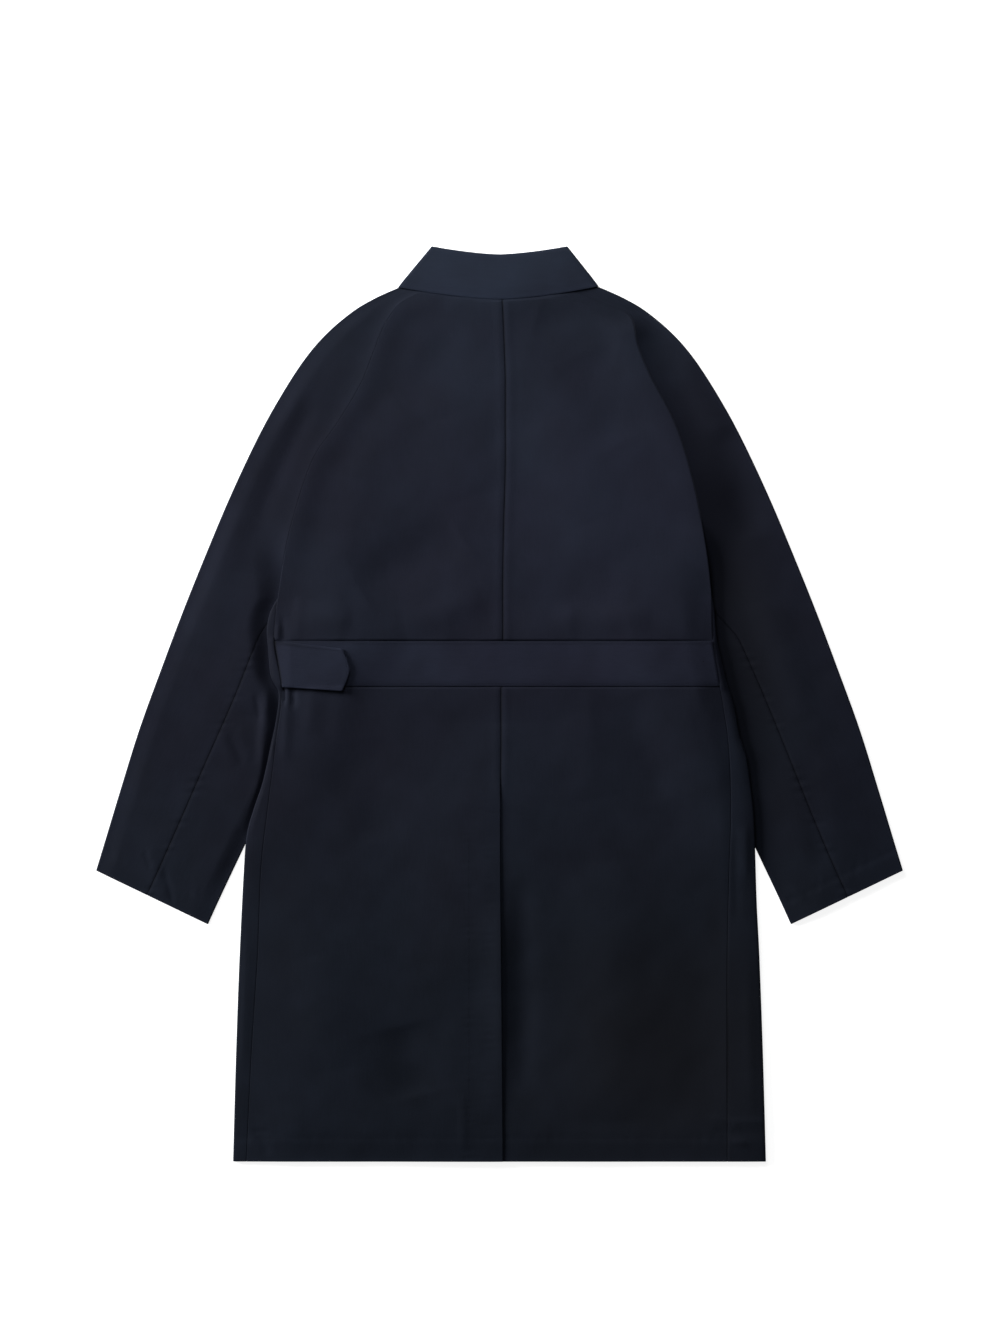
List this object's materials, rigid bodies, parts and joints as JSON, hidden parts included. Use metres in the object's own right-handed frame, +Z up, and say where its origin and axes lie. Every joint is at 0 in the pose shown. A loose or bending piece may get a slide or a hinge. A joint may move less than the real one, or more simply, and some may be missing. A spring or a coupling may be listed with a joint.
{
  "type": "belted coat",
  "caption": "Dark navy cotton raglan coat laid flat with its back up: stand collar, centre-back seam with vent, half belt with a pointed tab.",
  "frame": {"origin": "middle of the coat's outline, on the surface that it lies on", "axes": "+Z up off the surface, +Y from the hem towards the collar, +X towards the wearer's right"},
  "size_m": [0.928, 1.0521, 0.0135],
  "materials": {
    "cloth": "matt cotton twill, dark navy",
    "band": "the same cotton twill, doubled"
  },
  "bodies": {
    "root": {"back_left": "cloth", "back_right": "cloth", "front_left": "cloth", "front_right": "cloth", "sleeve_left_back": "cloth", "sleeve_right_back": "cloth", "sleeve_left_front": "cloth", "sleeve_right_front": "cloth", "collar": "band", "belt": "band", "belt_tab": "band"}
  },
  "joints": []
}
